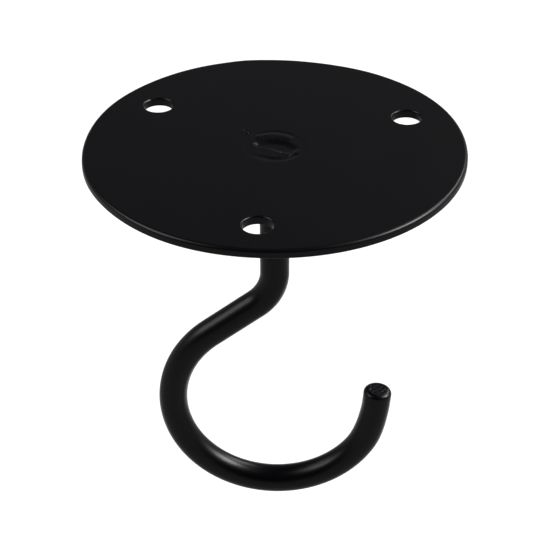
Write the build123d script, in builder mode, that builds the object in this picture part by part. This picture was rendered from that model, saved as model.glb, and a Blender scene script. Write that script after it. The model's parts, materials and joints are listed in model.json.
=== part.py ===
# Ceiling hook for a hanging basket, in millimetres. A round steel plate is screwed to the ceiling,
# and a bent steel bar is welded through the middle of it.
# The origin is the middle of the face that lies against the ceiling, and +Z points up into the ceiling.
# The bar is bent in the XZ plane, and its tip is on the +X side.

import os
from math import acos, atan2, degrees, hypot

from build123d import *

# Ceiling plate
plate_diameter = 76.5
plate_thickness = 1.8
ceiling_edge_chamfer = 0.4
room_edge_chamfer = 0.25

# Screw holes in the plate
screw_count = 3
screw_hole_diameter = 6.1
screw_inset = 8.75  # from the plate's rim to a hole's centre
first_screw_angle = -94.0  # from the side that the tip is on

# Hook bar, measured along its centre line
bar_diameter = 6.0
shank_length = 28.0  # straight, from the plate's underside to the neck
neck_radius = 10.3
run_length = 12.4  # straight, from the neck to the bow
bow_radius = 22.1
tip_length = 3.0  # straight, past the bow
tip_edge_radius = 0.6

# Plug weld over the bar's upper end
bar_clearance = 0.1  # round the bar, in the plate's middle hole
weld_reach = 3.3  # from the middle hole's wall to the weld's outer edge
weld_rim_depth = 0.3  # upright wall at the weld's outer edge
groove_width = 2.1  # sunken ring round the weld
groove_depth = 0.15
crest_width = 0.9  # flat ring between the groove and the crater
crest_drop = 0.04  # how far the crest stays below the ceiling face
crater_depth = 0.55
weld_throat = 0.25  # weld left between the crater and the bar's end

plate_radius = plate_diameter / 2
bar_radius = bar_diameter / 2
screw_circle_radius = plate_radius - screw_inset
middle_hole_radius = bar_radius + bar_clearance
weld_radius = middle_hole_radius + weld_reach
weld_depth = crater_depth + weld_throat
crest_radius = weld_radius - groove_width
crater_radius = crest_radius - crest_width

# Half section of the seat that the weld fills, from the bar's end out to the ceiling face
weld_seat = [
    (0, -weld_depth),
    (middle_hole_radius, -weld_depth),
    (weld_radius, -weld_rim_depth),
    (weld_radius, 0),
]

# Half section of the weld's face, from its outer edge to the bottom of the crater
weld_face = [
    (weld_radius - groove_width / 2, -groove_depth),
    (crest_radius, -crest_drop),
    (crater_radius, -crest_drop),
    (0, -crater_depth),
]

# The neck turns just far enough to bring the middle of the bow under the shank
neck_and_bow = neck_radius + bow_radius
neck_angle = degrees(
    acos(neck_radius / hypot(neck_and_bow, run_length)) - atan2(run_length, neck_and_bow)
)

os.makedirs("parts", exist_ok=True)

# Blanked disc with broken edges, holes for the screws, and a middle hole that opens out for the weld
with BuildPart() as ceiling_plate:
    with BuildSketch(Plane.XY.offset(-plate_thickness)):
        Circle(plate_radius)
    extrude(amount=plate_thickness)
    chamfer(ceiling_plate.edges().group_by(Axis.Z)[-1], ceiling_edge_chamfer)
    chamfer(ceiling_plate.edges().group_by(Axis.Z)[0], room_edge_chamfer)
    with PolarLocations(screw_circle_radius, screw_count, start_angle=first_screw_angle):
        Hole(screw_hole_diameter / 2)
    Hole(middle_hole_radius)
    with BuildSketch(Plane.XZ):
        Polygon(*weld_seat, (0, 0), align=None)
    revolve(axis=Axis.Z, mode=Mode.SUBTRACT)
ceiling_plate.part.label = "ceiling_plate"
export_step(ceiling_plate.part, "parts/ceiling_plate.step")

# Round bar from the root of the weld, down through the plate and round to the tip
with BuildPart() as hook_bar:
    with BuildLine(Plane.XZ) as centre_line:
        shank = Line((0, -weld_depth), (0, -plate_thickness - shank_length))
        neck = JernArc(shank @ 1, shank % 1, neck_radius, -neck_angle)
        run = PolarLine(neck @ 1, run_length, direction=neck % 1)
        bow = JernArc(run @ 1, run % 1, bow_radius, 180 + neck_angle)
        PolarLine(bow @ 1, tip_length, direction=bow % 1)
    with BuildSketch(Plane(origin=shank @ 0, z_dir=shank % 0)):
        Circle(bar_radius)
    sweep(path=centre_line.line)
    tip_face = hook_bar.faces().filter_by(GeomType.PLANE).sort_by(Axis.X)[-1]
    fillet(tip_face.edges(), tip_edge_radius)
hook_bar.part.label = "hook_bar"
export_step(hook_bar.part, "parts/hook_bar.step")

# Weld that fills the seat, with a sunken ring, a crest and a crater on its face
with BuildPart() as plug_weld:
    with BuildSketch(Plane.XZ):
        Polygon(*weld_seat, *weld_face, align=None)
    revolve(axis=Axis.Z)
plug_weld.part.label = "plug_weld"
export_step(plug_weld.part, "parts/plug_weld.step")
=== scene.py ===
import json
import math

import bpy
from mathutils import Matrix, Vector


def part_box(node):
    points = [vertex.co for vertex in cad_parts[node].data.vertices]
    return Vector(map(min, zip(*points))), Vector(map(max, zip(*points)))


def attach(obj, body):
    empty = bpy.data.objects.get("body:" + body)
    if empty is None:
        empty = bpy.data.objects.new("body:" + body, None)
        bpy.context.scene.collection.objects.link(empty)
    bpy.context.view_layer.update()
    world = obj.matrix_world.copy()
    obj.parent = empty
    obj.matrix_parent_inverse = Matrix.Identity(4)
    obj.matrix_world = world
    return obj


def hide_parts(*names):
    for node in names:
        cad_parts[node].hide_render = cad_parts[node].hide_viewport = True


mm = 0.001
tolerance = 0.01 * mm  # a point this near to a face or an edge is on it
mergeGap = 0.001 * mm  # points this near to each other become one
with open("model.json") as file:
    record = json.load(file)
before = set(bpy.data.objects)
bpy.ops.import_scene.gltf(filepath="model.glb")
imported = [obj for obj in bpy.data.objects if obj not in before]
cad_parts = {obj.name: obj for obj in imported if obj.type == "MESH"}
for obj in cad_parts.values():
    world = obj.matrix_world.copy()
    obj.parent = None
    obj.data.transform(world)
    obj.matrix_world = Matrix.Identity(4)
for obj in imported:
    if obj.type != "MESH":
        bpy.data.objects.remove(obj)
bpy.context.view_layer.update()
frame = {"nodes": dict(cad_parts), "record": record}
print("frame loaded:", ", ".join(sorted(frame["nodes"])))


class Wire:  # a shader socket that maths can be written with
    def __init__(self, graph, socket):
        self.graph = graph
        self.socket = socket

    def combine(self, operation, first, second):
        return self.graph.add("ShaderNodeMath", {"operation": operation}, {0: first, 1: second})

    def __add__(self, other):
        return self.combine("ADD", self, other)

    def __radd__(self, other):
        return self.combine("ADD", other, self)

    def __sub__(self, other):
        return self.combine("SUBTRACT", self, other)

    def __rsub__(self, other):
        return self.combine("SUBTRACT", other, self)

    def __mul__(self, other):
        return self.combine("MULTIPLY", self, other)

    def __rmul__(self, other):
        return self.combine("MULTIPLY", other, self)


class Graph:  # the node tree of one material or of the world
    def __init__(self, tree):
        self.tree = tree
        tree.nodes.clear()

    def add(self, kind, settings, sockets, out=0):
        node = self.tree.nodes.new(kind)
        for name, value in settings.items():
            setattr(node, name, value)
        for name, value in sockets.items():
            if isinstance(value, Wire):
                self.tree.links.new(value.socket, node.inputs[name])
            else:
                node.inputs[name].default_value = value
        return Wire(self, node.outputs[out]) if node.outputs else None


def ramp(graph, value, start, end):  # rises smoothly from 0 at the start to 1 at the end
    return graph.add(
        "ShaderNodeMapRange",
        {"interpolation_type": "SMOOTHSTEP"},
        {"Value": value, "From Min": start, "From Max": end},
    )


def noise(graph, place, size, detail):
    return graph.add("ShaderNodeTexNoise", {}, {"Vector": place, "Scale": 1 / (size * mm), "Detail": detail})


def along(graph, place, axis):
    return graph.add("ShaderNodeSeparateXYZ", {}, {0: place}, axis)


def direction(azimuth, height):  # degrees, round from +X towards the back and up from the horizon
    azimuth, height = math.radians(azimuth), math.radians(height)
    level = math.cos(height)
    return Vector((math.cos(azimuth) * level, math.sin(azimuth) * level, math.sin(height)))


# Black powder coat, sizes in millimetres
coat = {
    "colour": (0.0008, 0.0008, 0.0017, 1),
    "gloss": 0.28,
    "roughness": 0.33,
    "roughnessSpread": 0.08,
    "cloudSize": 12.0,  # patches of more and less gloss
    "cloudDetail": 3,
    "peelSize": 0.9,  # orange peel
    "peelDetail": 1,
    "peelHeight": 0.004,
    "grainSize": 0.22,
    "grainDetail": 2,
    "grainHeight": 0.0012,
    "thickness": 0.05,
}


def powderCoat():
    material = bpy.data.materials.new("blackPowderCoat")
    material.use_nodes = True
    graph = Graph(material.node_tree)
    place = graph.add("ShaderNodeTexCoord", {}, {}, "Object")
    cloud = noise(graph, place, coat["cloudSize"], coat["cloudDetail"])
    peel = noise(graph, place, coat["peelSize"], coat["peelDetail"])
    grain = noise(graph, place, coat["grainSize"], coat["grainDetail"])
    height = peel * (coat["peelHeight"] * mm) + grain * (coat["grainHeight"] * mm)
    bump = graph.add("ShaderNodeBump", {}, {"Height": height, "Distance": 1.0})  # heights in metres
    surface = graph.add(
        "ShaderNodeBsdfPrincipled",
        {},
        {
            "Base Color": coat["colour"],
            "Specular IOR Level": coat["gloss"],
            "Roughness": coat["roughness"] + (cloud - 0.5) * coat["roughnessSpread"],  # noise lies round 0.5
            "Normal": bump,
        },
    )
    graph.add("ShaderNodeOutputMaterial", {}, {"Surface": surface})
    return material


def deselect():
    bpy.ops.object.select_all(action="DESELECT")


def openForEditing(name):  # the new primitive gets its name and its place in its mesh
    piece = bpy.context.active_object
    piece.name = name
    bpy.ops.object.transform_apply(location=True, rotation=True, scale=True)
    bpy.ops.object.mode_set(mode="EDIT")
    bpy.ops.mesh.select_all(action="SELECT")
    return piece


def pick(kind, test):  # selects the points that pass, or the edges or faces whose points all pass
    bpy.ops.mesh.select_mode(type=kind)
    bpy.ops.mesh.select_all(action="DESELECT")
    bpy.ops.object.mode_set(mode="OBJECT")
    mesh = bpy.context.active_object.data
    passes = [test(point.co) for point in mesh.vertices]
    if kind == "VERT":
        for point in mesh.vertices:
            point.select = passes[point.index]
    else:
        for item in mesh.edges if kind == "EDGE" else mesh.polygons:
            item.select = all(passes[index] for index in item.vertices)
    bpy.ops.object.mode_set(mode="EDIT")


def extrude(x, y, z):
    bpy.ops.mesh.extrude_region_move(TRANSFORM_OT_translate={"value": (x, y, z)})


def widen(factor):
    bpy.ops.transform.resize(value=(factor, factor, 1), center_override=(0, 0, 0))


def falloff(reach):  # the points within reach go along, less the further off they are
    return {
        "use_proportional_edit": True,
        "proportional_edit_falloff": "SMOOTH",
        "proportional_size": reach * mm,
    }


def pull(test, move, reach):
    pick("VERT", test)
    bpy.ops.transform.translate(value=Vector(move) * mm, **falloff(reach))


def swing(test, degrees, axis, hinge, reach):
    pick("VERT", test)
    bpy.ops.transform.rotate(
        value=math.radians(degrees), orient_axis=axis, center_override=hinge, **falloff(reach)
    )


def closeUp():  # merges doubles and turns every face outwards
    bpy.ops.mesh.select_all(action="SELECT")
    bpy.ops.mesh.remove_doubles(threshold=mergeGap)
    bpy.ops.mesh.normals_make_consistent(inside=False)
    bpy.ops.object.mode_set(mode="OBJECT")


def finishPiece(piece, node, smoothAngle):
    deselect()
    piece.select_set(True)
    bpy.context.view_layer.objects.active = piece
    bpy.ops.object.shade_smooth_by_angle(angle=math.radians(smoothAngle))
    piece.data.materials.clear()
    piece.data.materials.append(blackCoat)
    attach(piece, "root")
    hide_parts(node)
    print(piece.name, "has", len(piece.data.polygons), "faces")


# Hook bar, bent from one length of round bar, sizes in millimetres and angles in degrees
hookBar = {
    "sides": 64,
    "neckRadius": 10.3,
    "runLength": 12.4,
    "tipLength": 3.0,
    "neckSteps": 24,
    "bowSteps": 96,
    "endRound": 1.05,
    "endRoundSteps": 6,
    "endGrid": 16,
    "endBand": 0.2,  # points this near to the end's height belong to it
    "roughShare": 0.95,  # of the flat end's radius is roughened
    "roughSeed": 4,
    "endUnevenness": 0.08,
    "endSmoothing": 5,
    "smoothFactor": 0.5,
    "cutMarks": 0.045,
    "cutMarkPitch": 1.1,
    "cutMarkEdge": 0.3,  # at 0 a mark is half a pitch wide, and at 1 it is gone
    "cutMarkTurn": 46,
    "tipLean": 4.5,  # outwards
    "leanPivot": 1.7,  # below the cut end
    "leanReach": 12.0,
    "tipStretch": 0.25,
    "smoothAngle": 40,
}


def bendBar():
    low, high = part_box("hook_bar")
    barRadius = (high.y - low.y) / 2
    bowRadius = (high.x - low.x) / 2 - barRadius
    coatRadius = barRadius + coat["thickness"] * mm
    bowHeight = low.z + barRadius + bowRadius
    neckRadius, runLength = hookBar["neckRadius"] * mm, hookBar["runLength"] * mm
    bothRadii = neckRadius + bowRadius
    neckAngle = math.acos(neckRadius / math.hypot(bothRadii, runLength))
    neckAngle -= math.atan2(runLength, bothRadii)  # so that the middle of the bow is under the shank
    neckHeight = bowHeight + bothRadii * math.sin(neckAngle) + runLength * math.cos(neckAngle)
    tipLength, endRound = hookBar["tipLength"] * mm, hookBar["endRound"] * mm
    tipHeight = bowHeight + tipLength
    flatRadius = coatRadius - endRound + tolerance
    roughRadius, endBand = flatRadius * hookBar["roughShare"], hookBar["endBand"] * mm
    markTurn, markPitch = math.radians(hookBar["cutMarkTurn"]), hookBar["cutMarkPitch"] * mm
    lean = math.radians(hookBar["tipLean"])
    leanHinge = (bowRadius, 0, tipHeight - hookBar["leanPivot"] * mm)

    def offTip(point):
        return math.hypot(point.x - bowRadius, point.y)

    def onFlat(point):
        return abs(point.z - tipHeight) < tolerance and offTip(point) < flatRadius

    def onEnd(point):
        return abs(point.z - tipHeight) < endBand and offTip(point) < roughRadius

    def onMark(point):
        across = (point.x - bowRadius) * math.sin(markTurn) - point.y * math.cos(markTurn)
        return onEnd(point) and math.sin(math.tau * across / markPitch) > hookBar["cutMarkEdge"]

    def onArm(point):
        return point.x > bowRadius / 2

    deselect()
    bpy.ops.mesh.primitive_circle_add(
        vertices=hookBar["sides"], radius=coatRadius, location=(0, 0, high.z)
    )
    bar = openForEditing("hookBar")
    extrude(0, 0, neckHeight - high.z)
    bpy.ops.mesh.spin(
        steps=hookBar["neckSteps"], angle=neckAngle, center=(-neckRadius, 0, neckHeight), axis=(0, -1, 0)
    )
    extrude(-runLength * math.sin(neckAngle), 0, -runLength * math.cos(neckAngle))
    bpy.ops.mesh.spin(
        steps=hookBar["bowSteps"], angle=math.pi + neckAngle, center=(0, 0, bowHeight), axis=(0, 1, 0)
    )
    extrude(0, 0, tipLength)
    bpy.ops.mesh.edge_face_add()
    bpy.ops.mesh.bevel(offset=endRound, segments=hookBar["endRoundSteps"], affect="EDGES")
    pick("FACE", onFlat)
    bpy.ops.mesh.delete(type="ONLY_FACE")
    pick("EDGE", onFlat)
    bpy.ops.mesh.fill_grid(span=hookBar["endGrid"])
    bpy.ops.mesh.subdivide(number_cuts=1)
    pick("VERT", onEnd)
    bpy.ops.transform.vertex_random(
        offset=hookBar["endUnevenness"] * mm, uniform=0, normal=1, seed=hookBar["roughSeed"]
    )
    pick("VERT", onMark)
    bpy.ops.transform.translate(value=(0, 0, -hookBar["cutMarks"] * mm))
    pick("VERT", onEnd)
    bpy.ops.mesh.vertices_smooth(factor=hookBar["smoothFactor"], repeat=hookBar["endSmoothing"])
    swing(
        lambda point: onArm(point) and point.z > bowHeight - tolerance,
        -hookBar["tipLean"],
        "Y",
        leanHinge,
        hookBar["leanReach"],
    )
    pull(
        lambda point: onArm(point) and point.z > bowHeight + tipLength / 2,
        Vector((math.sin(lean), 0, math.cos(lean))) * hookBar["tipStretch"],
        hookBar["leanReach"],
    )
    pick("EDGE", lambda point: abs(point.z - high.z) < tolerance)
    bpy.ops.mesh.edge_face_add()
    closeUp()
    finishPiece(bar, "hook_bar", hookBar["smoothAngle"])


# Plug weld in the middle of the ceiling face, sizes in millimetres and angles in degrees
plugWeld = {
    "sides": 192,
    "rings": 64,
    "rimDepth": 0.3,
    "section": [  # share of the weld's radius, height over the ceiling face
        (1.0, 0.0),
        (0.92, -0.03),
        (0.7, -0.03),
        (0.0, -0.06),
    ],
    "crater": [  # the outline of its floor, seen from above
        (-3.1, 0.85), (-2.5, 1.15), (-1.2, 1.5), (0.2, 1.5), (1.5, 1.0), (2.6, 0.2),
        (3.5, -0.8), (3.05, -1.55), (1.7, -1.45), (0.4, -0.4), (-1.2, 0.5),
    ],
    "craterDepth": 0.39,
    "craterWall": 1.6,
    "craterHinge": (-1.66, -0.5),
    "craterTilt": {"X": 1.0, "Y": 0.6},  # down to the far wall and to the left
    "strands": [  # where the bead ran thick or thin: path, height, reach to either side
        ([(-3.2, 3.8), (-1.5, 4.5), (0.2, 4.6), (1.8, 4.05), (2.8, 3.2)], 0.12, 1.2),
        ([(-4.0, 4.4), (-1.8, 5.5), (0.3, 5.75), (2.2, 5.2), (3.3, 4.4)], -0.045, 0.9),
        ([(-2.8, -4.2), (-1.0, -4.9)], -0.09, 0.9),
        ([(-0.2, -5.1), (1.6, -5.0), (3.2, -4.2), (4.2, -3.2)], -0.16, 0.85),
        ([(-4.3, 1.0), (-3.0, 0.2), (-1.66, -0.5), (-0.2, -1.4), (1.17, -2.4)], 0.04, 0.7),
        ([(1.5, -2.55), (2.76, -2.85), (3.9, -2.6), (4.6, -1.8)], 0.05, 0.6),
        ([(-1.0, 3.4), (-0.1, 3.6), (0.8, 3.55)], 0.07, 0.9),
    ],
    "strandGrip": 0.15,  # how near a point is to the path to move with it
    "unevenness": 0.035,
    "unevenSize": 1.1,
    "evenRim": 1 / 6,  # share of the radius over which the unevenness dies out
    "beads": [  # place, half sizes, how far its length is turned
        ((-6.75, 6.4, 0.0), (0.35, 0.28, 0.12), 0),
        ((-5.7, 5.2, 0.0), (0.38, 0.3, 0.13), 0),
        ((0.85, -2.05, -0.12), (0.5, 0.35, 0.26), -30),
    ],
    "beadSides": 24,
    "beadRings": 12,
    "smoothAngle": 60,
}


def weldHeight(share):  # the section, rounded at each of its corners
    corners = plugWeld["section"]
    for (outer, outerHeight), (inner, innerHeight) in zip(corners, corners[1:]):
        if share >= inner:
            blend = (1 - math.cos(math.pi * (outer - share) / (outer - inner))) / 2
            return (outerHeight + (innerHeight - outerHeight) * blend) * mm


def offPath(point, path):  # how far the point is from the path, seen from above, in millimetres
    spot = Vector((point.x, point.y)) / mm
    gaps = []
    for start, end in zip(path, path[1:]):
        start, end = Vector(start), Vector(end)
        share = (spot - start).dot(end - start) / (end - start).length_squared
        gaps.append((spot - start.lerp(end, min(max(share, 0), 1))).length)
    return min(gaps)


def inCrater(point):  # inside, an odd number of the outline's sides lies to the right
    x, y = point.x / mm, point.y / mm
    corners = plugWeld["crater"]
    inside = False
    for (startX, startY), (endX, endY) in zip(corners, corners[1:] + corners[:1]):
        crosses = (startY > y) != (endY > y)
        if crosses and x < startX + (endX - startX) * (y - startY) / (endY - startY):
            inside = not inside
    return inside


def middleHoleRadius():  # of the hole that the bar goes through
    low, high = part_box("hook_bar")
    return (high.y - low.y) / 2 + ceilingPlate["barClearance"] * mm


def rippleFace(weld, weldRadius, bottom):
    ripple = bpy.data.textures.new("weldRipple", "CLOUDS")
    ripple.noise_scale = plugWeld["unevenSize"] * mm
    face = weld.vertex_groups.new(name="face")
    for point in weld.data.vertices:
        inside = weldRadius - math.hypot(point.co.x, point.co.y)
        if point.co.z > bottom + tolerance and inside > tolerance:
            weight = min(inside / (weldRadius * plugWeld["evenRim"]), 1)
            face.add([point.index], weight, "REPLACE")
    bumps = weld.modifiers.new("ripple", "DISPLACE")
    bumps.texture = ripple
    bumps.texture_coords = "LOCAL"
    bumps.direction = "Z"
    bumps.strength = plugWeld["unevenness"] * mm
    bumps.vertex_group = "face"
    bpy.ops.object.modifier_apply(modifier="ripple")


def dropBeads(weld):
    for place, halfSizes, turn in plugWeld["beads"]:
        deselect()
        bpy.ops.mesh.primitive_uv_sphere_add(
            segments=plugWeld["beadSides"],
            ring_count=plugWeld["beadRings"],
            radius=mm,  # its half sizes scale this
            location=Vector(place) * mm,
            rotation=(0, 0, math.radians(turn)),
            scale=halfSizes,
        )
        openForEditing("weldBead")
        bpy.ops.object.mode_set(mode="OBJECT")
        weld.select_set(True)
        bpy.context.view_layer.objects.active = weld
        bpy.ops.object.join()


def layWeld():
    low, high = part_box("plug_weld")
    weldRadius = (high.x - low.x) / 2
    rings, rimDepth = plugWeld["rings"], plugWeld["rimDepth"] * mm
    deselect()
    bpy.ops.mesh.primitive_circle_add(
        vertices=plugWeld["sides"], radius=weldRadius, location=(0, 0, high.z)
    )
    weld = openForEditing("plugWeld")
    share, height = 1, high.z
    for ring in range(1, rings):
        nextShare = 1 - ring / rings
        nextHeight = weldHeight(nextShare)
        extrude(0, 0, nextHeight - height)
        widen(nextShare / share)
        share, height = nextShare, nextHeight
    bpy.ops.mesh.edge_face_add()
    bpy.ops.mesh.poke()
    pull(inCrater, (0, 0, -plugWeld["craterDepth"]), plugWeld["craterWall"])
    hingeX, hingeY = plugWeld["craterHinge"]
    for axis, tilt in plugWeld["craterTilt"].items():
        swing(inCrater, tilt, axis, (hingeX * mm, hingeY * mm, 0), plugWeld["craterWall"])
    for path, up, reach in plugWeld["strands"]:
        pull(lambda point: offPath(point, path) < plugWeld["strandGrip"], (0, 0, up), reach)
    pick("EDGE", lambda point: math.hypot(point.x, point.y) > weldRadius - tolerance)
    bpy.ops.transform.resize(value=(1, 1, 0), center_override=(0, 0, high.z))  # the rim is level again
    extrude(0, 0, -rimDepth)
    extrude(0, 0, low.z - high.z + rimDepth)
    widen(middleHoleRadius() / weldRadius)
    bpy.ops.mesh.edge_face_add()
    closeUp()
    rippleFace(weld, weldRadius, low.z)
    dropBeads(weld)
    finishPiece(weld, "plug_weld", plugWeld["smoothAngle"])


# Ceiling plate, blanked from sheet, sizes in millimetres and angles in degrees
ceilingPlate = {
    "sides": 192,
    "ceilingEdge": 0.7,
    "ceilingEdgeSteps": 6,
    "roomEdge": 0.25,
    "roomEdgeSteps": 4,
    "holeSides": 64,
    "holeEdge": 0.35,
    "holeBurr": 0.08,
    "holeEdgeSteps": 5,
    "punchLength": 3,  # times the plate's thickness
    "barClearance": 0.1,
    "rimPulls": [  # where the blank isn't quite round: place round it, outwards, reach
        (-118, 0.2, 21),
        (175, -0.24, 17),
        (113, 0.2, 17),
        (101, 0.2, 6),
        (76, -0.25, 12),
        (32, 0.24, 22),
    ],
    "rimGrip": 1.0,  # how near a point is to the place to move with it
    "dentHole": 2,  # the screw hole with a knocked edge
    "dentSide": 144,  # round that hole
    "dentSlant": 45,
    "dentLength": 2.4,
    "dentDepth": 0.17,
    "dentRound": 0.2,  # share of its length
    "dentRoundSteps": 4,
    "smoothAngle": 40,
}


def punchThrough(plate, cutter):
    punch = plate.modifiers.new("punch", "BOOLEAN")
    punch.operation = "DIFFERENCE"
    punch.solver = "EXACT"
    punch.object = cutter
    bpy.context.view_layer.objects.active = plate
    bpy.ops.object.modifier_apply(modifier="punch")
    bpy.data.objects.remove(cutter)


def breakEdges(test, size, steps):
    pick("EDGE", test)
    bpy.ops.mesh.bevel(offset=size * mm, segments=steps, affect="EDGES")


def weldSeatCutter(bottom, thickness):  # a bore for the bar that opens out for the weld
    low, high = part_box("plug_weld")
    boreRadius, weldRadius = middleHoleRadius(), (high.x - low.x) / 2
    deselect()
    bpy.ops.mesh.primitive_circle_add(
        vertices=plugWeld["sides"], radius=boreRadius, fill_type="NGON", location=(0, 0, bottom - thickness)
    )
    cutter = openForEditing("weldSeatCutter")
    extrude(0, 0, low.z - bottom + thickness)
    extrude(0, 0, -low.z - plugWeld["rimDepth"] * mm)
    widen(weldRadius / boreRadius)
    extrude(0, 0, thickness)
    closeUp()
    return cutter


def dentCutter(x, y, holeRadius, top):  # a rounded block on edge over the hole's upper edge
    side, slant = math.radians(ceilingPlate["dentSide"]), math.radians(ceilingPlate["dentSlant"])
    length, depth = ceilingPlate["dentLength"] * mm, ceilingPlate["dentDepth"] * mm
    reach = holeRadius + (depth - length / 2) * math.cos(slant)
    deselect()
    bpy.ops.mesh.primitive_cube_add(
        size=length,
        location=(x + reach * math.cos(side), y + reach * math.sin(side), top + holeRadius - reach),
        rotation=(0, slant, side),
    )
    cutter = openForEditing("dentCutter")
    bpy.ops.mesh.bevel(
        offset=length * ceilingPlate["dentRound"], segments=ceilingPlate["dentRoundSteps"], affect="EDGES"
    )
    closeUp()
    return cutter


def cutPlate():
    low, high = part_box("ceiling_plate")
    plateRadius, thickness = (high.x - low.x) / 2, high.z - low.z
    record = frame["record"]
    screws = next(mount for mount in record["mounts"] if mount["name"] == "ceiling_screws")
    holeRadius = screws["dims"]["hole_r_mm"] * mm - coat["thickness"] * mm
    centres = []
    for opening in record["physics"]["openings"]:
        if "screw_hole" in opening["name"]:
            start, end = opening["box_m"]
            centres.append(((start[0] + end[0]) / 2, (start[1] + end[1]) / 2))

    def onTop(point):
        return point.z > high.z - tolerance

    def onBottom(point):
        return point.z < low.z + tolerance

    def onHole(point, x, y):
        return abs(math.hypot(point.x - x, point.y - y) - holeRadius) < tolerance

    deselect()
    bpy.ops.mesh.primitive_cylinder_add(
        vertices=ceilingPlate["sides"],
        radius=plateRadius,
        depth=thickness,
        location=(0, 0, (low.z + high.z) / 2),
    )
    plate = openForEditing("ceilingPlate")
    breakEdges(onTop, ceilingPlate["ceilingEdge"], ceilingPlate["ceilingEdgeSteps"])
    breakEdges(onBottom, ceilingPlate["roomEdge"], ceilingPlate["roomEdgeSteps"])
    grip = ceilingPlate["rimGrip"] * mm
    for side, out, reach in ceilingPlate["rimPulls"]:
        outwards = direction(side, 0)
        spot = outwards.to_2d() * plateRadius
        pull(lambda point: (point.to_2d() - spot).length < grip, outwards * out, reach)
    bpy.ops.object.mode_set(mode="OBJECT")
    for x, y in centres:
        deselect()
        bpy.ops.mesh.primitive_cylinder_add(
            vertices=ceilingPlate["holeSides"],
            radius=holeRadius,
            depth=thickness * ceilingPlate["punchLength"],
            location=(x, y, 0),
        )
        punchThrough(plate, bpy.context.active_object)
    punchThrough(plate, weldSeatCutter(low.z, thickness))
    bpy.ops.object.mode_set(mode="EDIT")
    steps = ceilingPlate["holeEdgeSteps"]
    for x, y in centres:
        for onFace, size in ((onTop, ceilingPlate["holeEdge"]), (onBottom, ceilingPlate["holeBurr"])):
            breakEdges(lambda point: onFace(point) and onHole(point, x, y), size, steps)
    closeUp()
    dentX, dentY = centres[ceilingPlate["dentHole"]]
    punchThrough(plate, dentCutter(dentX, dentY, holeRadius, high.z))
    finishPiece(plate, "ceiling_plate", ceilingPlate["smoothAngle"])
    evenNormals = plate.modifiers.new("evenNormals", "WEIGHTED_NORMAL")
    evenNormals.keep_sharp = True
    bpy.ops.object.modifier_apply(modifier="evenNormals")


blackCoat = powderCoat()
bendBar()
layWeld()
cutPlate()


# A pale grey floor, with white paper on it behind the object, sizes in metres
floorLook = {
    "height": -0.45,
    "size": 30.0,
    "floor": 0.28,
    "paper": 0.97,
    "paperFrom": 0.05,  # its front edge fades in from here
    "paperTo": 0.33,
    "paperSide": 0.27,  # its side edges fade out from here
    "paperEnd": 0.5,
    "roughness": 0.9,
}


def layFloor():
    deselect()
    bpy.ops.mesh.primitive_plane_add(size=floorLook["size"], location=(0, 0, floorLook["height"]))
    floor = bpy.context.active_object
    floor.name = "studioFloor"
    material = bpy.data.materials.new("paleFloor")
    material.use_nodes = True
    graph = Graph(material.node_tree)
    place = graph.add("ShaderNodeTexCoord", {}, {}, "Object")
    aside = graph.add("ShaderNodeMath", {"operation": "ABSOLUTE"}, {0: along(graph, place, "X")})
    paper = ramp(graph, along(graph, place, "Y"), floorLook["paperFrom"], floorLook["paperTo"])
    paper = paper - paper * ramp(graph, aside, floorLook["paperSide"], floorLook["paperEnd"])
    tone = floorLook["floor"] + paper * (floorLook["paper"] - floorLook["floor"])
    surface = graph.add(
        "ShaderNodeBsdfPrincipled",
        {},
        {"Base Color": tone, "Roughness": floorLook["roughness"], "Specular IOR Level": 0.0},
    )
    graph.add("ShaderNodeOutputMaterial", {}, {"Surface": surface})
    floor.data.materials.append(material)


# Soft lamps, angles in degrees
lamps = {
    "rightSoftbox": {"azimuth": 4, "height": 38, "width": 28, "strength": 3.75},
    "backSoftbox": {"azimuth": 50, "height": 35, "width": 24, "strength": 0.8},
    "leftSoftbox": {"azimuth": 187, "height": 40, "width": 38, "strength": 1.45},
}


def hangLamps():
    for name, lamp in lamps.items():
        towards = direction(lamp["azimuth"], lamp["height"])
        bpy.ops.object.light_add(type="SUN", location=towards)
        sun = bpy.context.active_object
        sun.name = name
        sun.rotation_euler = towards.to_track_quat("Z", "Y").to_euler()
        sun.data.energy = lamp["strength"]
        sun.data.angle = math.radians(lamp["width"])


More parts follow.
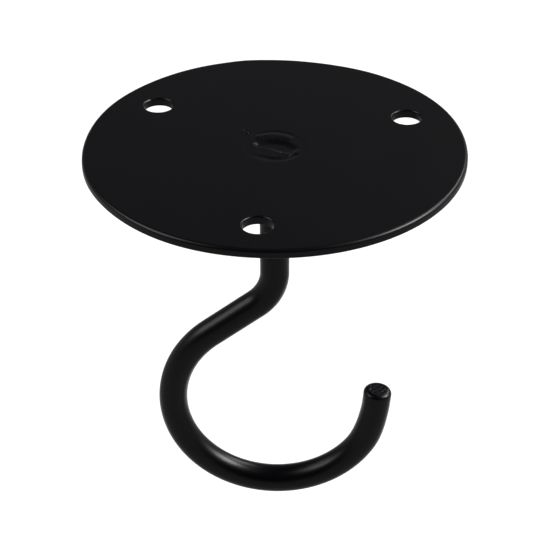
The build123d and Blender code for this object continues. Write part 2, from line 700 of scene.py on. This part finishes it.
# The room round the stage: a wall like the floor, dim above it, and dark overhead and in front.
# Its edges are given as the height, or the distance to the back, of a line of sight of length 1
room = {
    "ceiling": 0.118,
    "dark": 0.012,
    "frontWall": 0.06,
    "wallTop": (0.05, 0.18),
    "overhead": (0.53, 0.83),
    "behind": (-0.6, 0.3),
}


def paintRoom():
    world = bpy.data.worlds.new("studioRoom")
    bpy.context.scene.world = world
    world.use_nodes = True
    graph = Graph(world.node_tree)
    sight = graph.add("ShaderNodeTexCoord", {}, {}, "Generated")
    up = along(graph, sight, "Z")
    behind = ramp(graph, along(graph, sight, "Y"), *room["behind"])
    aboveWall = ramp(graph, up, *room["wallTop"])
    overhead = ramp(graph, up, *room["overhead"])
    wall = room["frontWall"] + behind * (floorLook["floor"] - room["frontWall"])
    ceiling = room["dark"] + (behind - behind * overhead) * (room["ceiling"] - room["dark"])
    tone = wall + aboveWall * (ceiling - wall)
    light = graph.add("ShaderNodeBackground", {}, {"Color": (1, 1, 1, 1), "Strength": tone})
    graph.add("ShaderNodeOutputWorld", {}, {"Surface": light})


# The photograph's view, angles in degrees
shot = {
    "distance": 0.36065,  # metres from the middle of the ceiling face
    "azimuth": -87.96,
    "elevation": 29.47,
    "tilt": 56.457,
    "turn": 2.009,
    "roll": -0.087,
    "lens": 118.63,  # millimetres
    "sensor": 36.0,
    "nearest": 0.01,  # metres
}


def aimCamera():
    bpy.ops.object.camera_add()
    camera = bpy.context.active_object
    camera.name = "photoView"
    place = direction(shot["azimuth"], shot["elevation"]) * shot["distance"]
    turn = Matrix.Rotation(math.radians(shot["turn"]), 4, "Z")
    tilt = Matrix.Rotation(math.radians(shot["tilt"]), 4, "X")
    roll = Matrix.Rotation(math.radians(shot["roll"]), 4, "Z")
    camera.matrix_world = Matrix.Translation(place) @ turn @ tilt @ roll
    camera.data.lens = shot["lens"]
    camera.data.sensor_width = shot["sensor"]
    camera.data.clip_start = shot["nearest"]
    bpy.context.scene.camera = camera


layFloor()
hangLamps()
paintRoom()
aimCamera()
bpy.context.scene.view_settings.view_transform = "Standard"
print("stage set")
